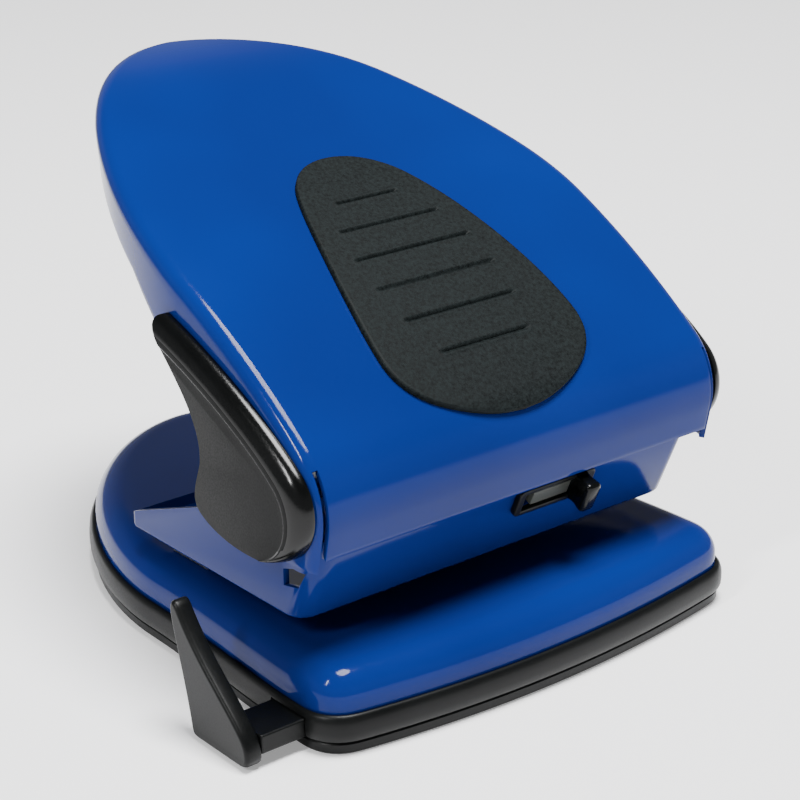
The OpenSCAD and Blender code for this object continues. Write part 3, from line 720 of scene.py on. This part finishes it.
def makePlate(size):
    r, top = size["drawRadius"], size["topZ"]
    rings = [raised(inset(baseLoop, 0), size["edgeZ"]), raised(baseLoop, size["edgeZ"] + 1.2)]
    rings += [raised(inset(baseLoop, r * (1 - math.cos(a))), top - r + r * math.sin(a))
              for a in np.radians(np.linspace(0, 90, 11))]
    rings.append(raised(inset(baseLoop, r + 0.6), top))
    points, faces = loftRings(rings, closeEnds=False)
    flat, tris, _ = fillLoop(inset(baseLoop, r + 0.6), 5)
    faces += [tuple(j + len(points) for j in t) for t in tris]
    points = np.vstack([points, raised(flat, top)])
    plate = makeMesh("basePlate", points, faces)
    turnOut(plate)
    if max(plate.data.polygons, key=lambda f: f.area).normal.z < 0:
        plate.data.flip_normals()
    thick = plate.modifiers.new("sheet", "SOLIDIFY")
    thick.thickness = size["sheet"] * mm
    thick.offset = -1
    applyAll(plate)
    holes = [prism("hole", circle(size["dieRadius"], 7.5) + (s * size["dieX"], size["dieY"]),
                   upright, top - 3.5, top + 1.5) for s in (-1, 1)]
    cutWith(plate, joinPieces(holes, "holes"))
    return finishPiece(plate, "base", blueLacquer, ["base_plate"])


rimSize = {"out": 1.8, "bottom": 3.0, "edgeZ": 9.0, "notchY": (-64.25, -52.25), "notchTop": 7.85}


def makeRim(size):
    out, z0, z1 = size["out"], size["bottom"], size["edgeZ"]
    section = np.array([[-2.6, z0], [out - 1.2, z0], [out - 0.5, z0 + 0.35], [out - 0.1, z0 + 1.2],
                        [out, z0 + 2.4], [out, z1 - 2.6], [out - 0.12, z1 - 1.4], [out - 0.5, z1 - 0.3],
                        [out - 0.95, z1 + 0.22], [out - 1.25, z1 + 0.34],
                        [0.3, z1 + 0.3], [0.3, z1], [-2.6, z1]])
    points, faces = loftRings([raised(inset(baseLoop, -d), z) for d, z in section], ringed=True)
    rim = makeMesh("baseRim", points, faces)
    turnOut(rim)
    y0, y1 = size["notchY"]
    cutWith(rim, boxPiece("notch", (-80, y0, 2.9), (-49, y1, size["notchTop"])))
    return finishPiece(rim, "base", satinBlack, ["base_rim"])


traySize = {"out": 0.8, "wall": 2.0, "floor": 1.6, "top": 2.8}


def makeTray(size):
    out, top, wall, low = size["out"], size["top"], size["wall"], size["floor"]
    steps = [(1.3, 0), (0.5, 0.12), (0.12, 0.5), (0, 1.1), (0, top - 0.4), (0.35, top),
             (wall - 0.2, top), (wall, top - 0.2), (wall, low + 0.3), (wall + 0.3, low)]
    points, faces = loftRings([raised(inset(baseLoop, d - out), z) for d, z in steps])
    tray = makeMesh("chipTray", points, faces)
    turnOut(tray)
    applyAll(tray)
    return finishPiece(tray, "tray", satinBlack, ["chip_tray"])


makePlate(baseSize)
makeRim(rimSize)
makeTray(traySize)
print("base made")

bracketSize = {
    "halfWidth": 55.0, "front": -53.8, "rear": 10.5, "floor": 23.5, "wallTop": 45.0, "lean": 23.0,
    "corner": 5.0, "rearCorner": 2.5, "bend": 1.4, "sheet": 1.5,
    "pinHole": 3.12, "lockSlot": ((2, 13.6), (21, 18.4)),
    "port": [(-49.0, 31.0), (-48.9, 34.8), (-52.4, 36.0), (-56.2, 36.0), (-53.9, 32.0)],
}


def bracketRing(size, d, z):
    lean = math.radians(size["lean"])
    yf = size["front"] - (z - size["floor"]) * math.tan(lean) + d / math.cos(lean)
    yr, x = size["rear"] - d, size["halfWidth"] - d
    r, q = size["corner"] - d, size["rearCorner"] - d
    corners = [(r - x, yf + r, r, 180), (x - r, yf + r, r, 270),
               (x - q, yr - q, q, 0), (q - x, yr - q, q, 90)]
    loop = [(cx + rad * math.cos(a), cy + rad * math.sin(a))
            for cx, cy, rad, start in corners for a in np.radians(np.linspace(start, start + 90, 11))]
    return raised(np.array(loop), z)


def onWall(u, v, h):
    # u along X, v up the leaning front wall, h into it
    lean = math.radians(bracketSize["lean"])
    y = bracketSize["front"] - v * math.sin(lean) + h * math.cos(lean)
    z = bracketSize["floor"] + v * math.cos(lean) + h * math.sin(lean)
    return (u, y, z)


def makeBracket(size):
    b, z0, t = size["bend"], size["floor"], size["sheet"]
    outer = [bracketRing(size, b * (1 - math.sin(a)), z0 + b * (1 - math.cos(a)))
             for a in np.radians(np.linspace(0, 90, 6))]
    high = pivot[1] + 7.2
    rings = outer + [bracketRing(size, 0, high), bracketRing(size, t, high), bracketRing(size, t, z0 + t)]
    points, faces = loftRings(rings)
    bracket = makeMesh("punchBracket", points, faces)
    turnOut(bracket)
    f, r, hump, tail = size["front"], size["rear"], pivot[1] + 6.2, z0 + 2.9
    py = pivot[0]
    crown = [(py + 9.5 * math.cos(a), hump - 6.5 + 6.5 * math.sin(a))
             for a in np.radians(np.linspace(10, 170, 17))]
    ahead = f - 40  # well in front of the leaning wall
    side = np.array([(ahead, z0 - 1), (r + 1, z0 - 1), (r + 1, tail), (r - 2.3, tail + 1.8),
                     (py + 18, pivot[1] - 8.5)] + crown
                    + [(py - 12.8, size["wallTop"]), (ahead, size["wallTop"])])
    keep = prism("keep", side, sideways, -70, 70)
    cutWith(bracket, keep, "INTERSECT")
    (u0, v0), (u1, v1) = size["lockSlot"]
    slot = prism("slot", np.array([(u0, v0), (u1, v0), (u1, v1), (u0, v1)]), onWall, -2, 4)
    ports = [prism("port", np.array(size["port"]), sideways, *sorted((s * 52, s * 57))) for s in (-1, 1)]
    holes = [prism("hole", circle(size["pinHole"], 10) + (s * baseSize["dieX"], baseSize["dieY"]),
                   upright, z0 - 1, z0 + 3) for s in (-1, 1)]
    cutWith(bracket, joinPieces([slot] + ports + holes, "openings"))
    bevelEdges(bracket, 0.25, 2, 50)
    applyAll(bracket)
    return finishPiece(bracket, "base", blueLacquer, ["punch_bracket"])


makeBracket(bracketSize)
print("bracket made")

slideSize = {
    "centreV": 16.0, "plate": (5.2, 20.8), "plateHalf": 2.2, "plateOut": 0.8, "plateIn": 1.8,
    "backOver": 3.0, "backHalf": 3.5, "knobX": 18.35, "knobHalf": (2.05, 3.9), "knobFrom": 0.5,
    "knobOut": 6.7, "corner": 0.95, "waist": 0.3, "boltTip": -2.5, "boltRadius": 1.5, "boltIn": 5.5,
}


def roundedBox(halfU, halfV, r, steps=6):
    return np.array([(su * (halfU - r) + r * math.cos(a), sv * (halfV - r) + r * math.sin(a))
                     for su, sv, start in ((1, 1, 0), (-1, 1, 90), (-1, -1, 180), (1, -1, 270))
                     for a in np.radians(np.linspace(start, start + 90, steps))])


def makeLockSlide(size):
    v0 = size["centreV"]
    x0, x1 = size["plate"]

    def wallBox(u0, u1, half, h0, h1):
        loop = np.array([(u0, v0 - half), (u1, v0 - half), (u1, v0 + half), (u0, v0 + half)])
        return prism("bit", loop, onWall, h0, h1)

    inner, over, tip, thick = size["plateIn"], size["backOver"], size["boltTip"], size["boltRadius"]
    bits = [wallBox(x0, x1, size["plateHalf"], -size["plateOut"], inner),
            wallBox(x0 - over, x1 + over, size["backHalf"], inner, inner + 1),
            wallBox(x0 - 3, x0 + 3, thick, inner + 1, size["boltIn"] + thick)]
    bolt = [[onWall(x, v0 + b, size["boltIn"] + a) for a, b in circle(r, 15)]
            for x, r in ((tip, 1.1), (tip + 0.4, thick), (x0, thick))]
    bits.append(makeMesh("bit", *loftRings([np.array(r) for r in bolt])))
    rings = []
    for t in np.linspace(0, 1, 18):
        h = -size["knobFrom"] - (size["knobOut"] - size["knobFrom"]) * t
        end = max(0, t - 0.82) / 0.18
        shrink = 0.9 * (1 - math.sqrt(max(0, 1 - end * end)))
        waist = size["waist"] * math.sin(math.pi * min(1, t / 0.85)) ** 2
        hu, hv = size["knobHalf"][0] - shrink - waist, size["knobHalf"][1] - shrink - 0.35 * waist
        loop = roundedBox(hu, hv, min(size["corner"], hu - 0.1))
        rings.append(np.array([onWall(size["knobX"] + u, v0 + v, h) for u, v in loop]))
    bits.append(makeMesh("bit", *loftRings(rings)))
    slide = joinPieces(bits, "lockSlide")
    turnOut(slide)
    bevelEdges(slide, 0.25, 2, 50)
    applyAll(slide, 40)
    finishPiece(slide, "lock", glossBlack, ["lock_slide"])
    slide.data.materials.append(lockFace)
    reach = size["knobHalf"][0] + 0.2
    for face in slide.data.polygons:
        if abs(face.center.x / mm - size["knobX"]) > reach:
            face.material_index = 1
    return slide


makeLockSlide(slideSize)
print("lock slide made")

stopSize = {"inner": 72.5, "thickness": 4.0, "height": 30.0, "bottom": 0.6, "ruleY": -64.0, "round": 1.1}


def makeStop(size):
    h, b = size["height"], size["bottom"]
    loop = bezierChain([
        [[24.4, h], [18, 0.67 * h], [7, 0.45 * h], [1.8, 8]],
        [[1.8, 8], [-1, 5.2], [-1, b], [1.5, b]],
        [[1.5, b], [8, b], [14, b], [19.7, b]],
        [[19.7, b], [20.8, 8], [24.2, 0.6 * h], [26.4, h - 4]],
        [[26.4, h - 4], [27.2, h - 0.5], [26.4, h + 1.6], [24.4, h]]], 16)
    loop = softened(resample(loop, 1.1), 2)
    r, t = size["round"], size["thickness"]
    steps = [(0.5, 0), (0.15, 0.15), (0, 0.5)]
    steps += [(0.8 * r * (1 - math.cos(a)), t - r + r * math.sin(a))
              for a in np.radians(np.linspace(0, 90, 7))]
    steps += [(0.8 * r + 0.12, t)]
    rings = []
    for d, x in steps:
        ring = inset(loop, d)
        rings.append(np.column_stack([np.full(len(ring), -size["inner"] - x),
                                      ring[:, 0] + size["ruleY"], ring[:, 1]]))
    points, faces = loftRings(rings)
    stop = makeMesh("guideStop", points, faces)
    turnOut(stop)
    applyAll(stop, 50)
    return finishPiece(stop, "paper_guide", satinBlack, ["guide_stop"])


makeStop(stopSize)
print("paper guide made")

springSize = {
    "wire": 0.55, "radius": 4.7, "turns": 6, "perTurn": 28, "low": 42.0, "high": 60.35,
    "keep": 0.478, "x": 40.0, "y": -23.78,
}


def makeSpring(side, size):
    count = size["turns"] * size["perTurn"]
    rise = size["high"] - size["low"] - 2 * size["wire"]
    shift = np.array([side * size["x"], size["y"], size["low"] + size["wire"]])
    rings = []
    for k in range(count + 1):
        a = 2 * math.pi * k / size["perTurn"]
        mid = shift + (size["radius"] * math.cos(a), size["radius"] * math.sin(a), rise * k / count)
        u = np.array([math.cos(a), math.sin(a), 0])
        t = np.array([-math.sin(a), math.cos(a), rise / (2 * math.pi * size["radius"] * size["turns"])])
        t /= np.linalg.norm(t)
        v = np.cross(t, u)
        rings.append(np.array([mid + p * u + q * v for p, q in circle(size["wire"], 30)]))
    points, faces = loftRings(rings)
    name = "left" if side < 0 else "right"
    spring = makeMesh("returnSpring" + name.capitalize(), points, faces)
    turnOut(spring)
    applyAll(spring, 60)
    finishPiece(spring, "base", springSteel, ["spring_" + name])
    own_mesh(spring)


for side in (-1, 1):
    makeSpring(side, springSize)
print("springs made")

# pieces whose solids stay as they are: material and edge rounding
keptNodes = {
    "die_left": (groundSteel, 0.15), "die_right": (groundSteel, 0.15),
    "punch_pin_left": (groundSteel, 0.2), "punch_pin_right": (groundSteel, 0.2),
    "back_stop": (oiledSteel, 0.3), "bracket_rivets": (platedSteel, 0.3),
    "guide_bridge": (blueLacquer, 0.3), "pivot_axle": (platedSteel, 0.3),
    "axle_clips": (platedSteel, 0.15), "lever_stiffener": (platedSteel, 0.3),
    "press_rod": (platedSteel, 0.3), "pin_collar_left": (platedSteel, 0.2),
    "pin_collar_right": (platedSteel, 0.2), "guide_channel": (satinBlack, 0.2),
    "guide_rule": (satinBlack, 0.4), "lock_frame": (satinBlack, 0.4),
}


def dressNode(name, material, round_):
    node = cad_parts[name]
    node.data.materials.clear()
    node.data.materials.append(material)
    weld = node.modifiers.new("weld", "WELD")
    weld.merge_threshold = 0.002 * mm
    bevelEdges(node, round_, 2, 40)


for name, (material, round_) in keptNodes.items():
    dressNode(name, material, round_)
print("kept nodes dressed")

studio = {
    "floor": (0.86, 0.86, 0.87), "floorGlow": 0.3, "floorReach": 12, "world": (0.95, 0.97, 1.0),
    "skyFall": (0.3, 0.66, 0.4, 0.07),  # from this height to that, this strength to that
    "lights": [
        {"name": "overhead", "place": (0.1, -0.22, 1.5), "aim": (0, 0, 0.05),
         "size": (0.7, 0.7), "watts": 62},
        {"name": "leftStrip", "place": (-1.11, -0.2, 1.0), "aim": (0, 0, 0.06),
         "size": (0.1, 0.5), "watts": 12},
    ],
}


def makeStudio(setup):
    reach = setup["floorReach"] / mm
    floor = boxPiece("studioFloor", (-reach, -reach, -20), (reach, reach, -0.05))
    m = NodeBench("paleFloor")
    m.join(m.ramp(m.noise(3, 2), [(0.3, setup["floor"]), (0.7, mixTones(setup["floor"], (1, 1, 1), 0.12))]),
           m.shader.inputs["Base Color"])
    m.shader.inputs["Roughness"].default_value = 0.7
    m.shader.inputs["Emission Color"].default_value = (1, 1, 1, 1)
    m.shader.inputs["Emission Strength"].default_value = setup["floorGlow"]
    floor.data.materials.append(m.material)
    world = bpy.data.worlds.new("studio")
    scene.world = world
    world.use_nodes = True
    tree = world.node_tree
    sky = tree.nodes["Background"]
    sky.inputs["Color"].default_value = (*setup["world"], 1)
    way = tree.nodes.new("ShaderNodeSeparateXYZ")
    tree.links.new(tree.nodes.new("ShaderNodeTexCoord").outputs["Generated"], way.inputs["Vector"])
    fall = tree.nodes.new("ShaderNodeMapRange")
    fall.interpolation_type = "SMOOTHSTEP"
    for key, value in zip(("From Min", "From Max", "To Min", "To Max"), setup["skyFall"]):
        fall.inputs[key].default_value = value
    tree.links.new(way.outputs["Z"], fall.inputs["Value"])
    tree.links.new(fall.outputs["Result"], sky.inputs["Strength"])
    for light in setup["lights"]:
        data = bpy.data.lights.new(light["name"], "AREA")
        data.shape = "ELLIPSE"
        data.size, data.size_y = light["size"]
        data.energy = light["watts"]
        lamp = bpy.data.objects.new(light["name"], data)
        scene.collection.objects.link(lamp)
        lamp.location = light["place"]
        aim = Vector(light["aim"]) - Vector(light["place"])
        lamp.rotation_euler = aim.to_track_quat("-Z", "Y").to_euler()


makeStudio(studio)
print("studio made")
